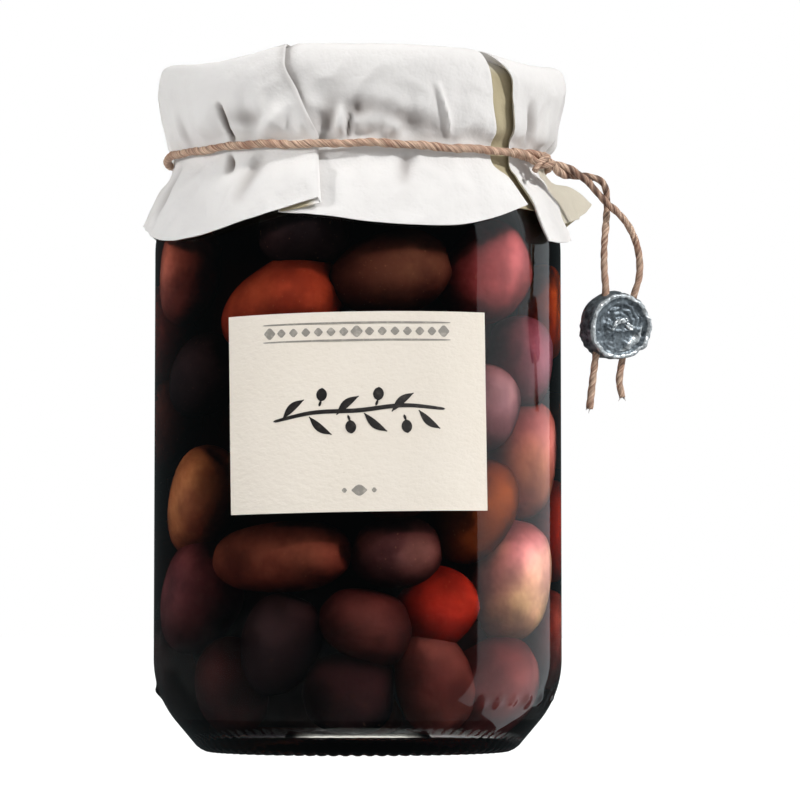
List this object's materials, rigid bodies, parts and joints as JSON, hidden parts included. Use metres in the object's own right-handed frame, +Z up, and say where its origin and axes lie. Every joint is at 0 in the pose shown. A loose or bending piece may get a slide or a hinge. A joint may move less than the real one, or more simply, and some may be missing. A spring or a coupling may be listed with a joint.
{
  "type": "jar of olives",
  "caption": "Glass jar of dark olives under a pleated paper cover, tied round with twine that carries a lead seal.",
  "frame": {"origin": "middle of the box round the jar and its cover, on the plane that the jar stands on; the jar's own axis stands 2.7 mm to the left of it", "axes": "+Z up along the jar, -Y towards the label, +X towards the side where the seal hangs"},
  "size_m": [0.1043, 0.0864, 0.1402],
  "materials": {
    "clear_glass": "clear pressed glass, polished, with a knurled standing ring",
    "lid_metal": "plain lacquered tinplate",
    "olive": "wet olive skin, from orange brown to purple and near black",
    "cover_paper": "stiff uncoated white paper, creased and pleated",
    "twine": "thin waxed two-ply brown twine",
    "lead": "dull pressed lead with bright rubbed edges",
    "label_paper": "cream laid paper with a plain printed ornament"
  },
  "bodies": {
    "root": {"glass_jar": "clear_glass", "lid": "lid_metal", "olives": "olive", "paper_cover": "cover_paper", "twine_wrap": "twine", "twine_tail_left": "twine", "twine_tail_right": "twine", "lead_seal": "lead", "label": "label_paper"}
  },
  "joints": []
}
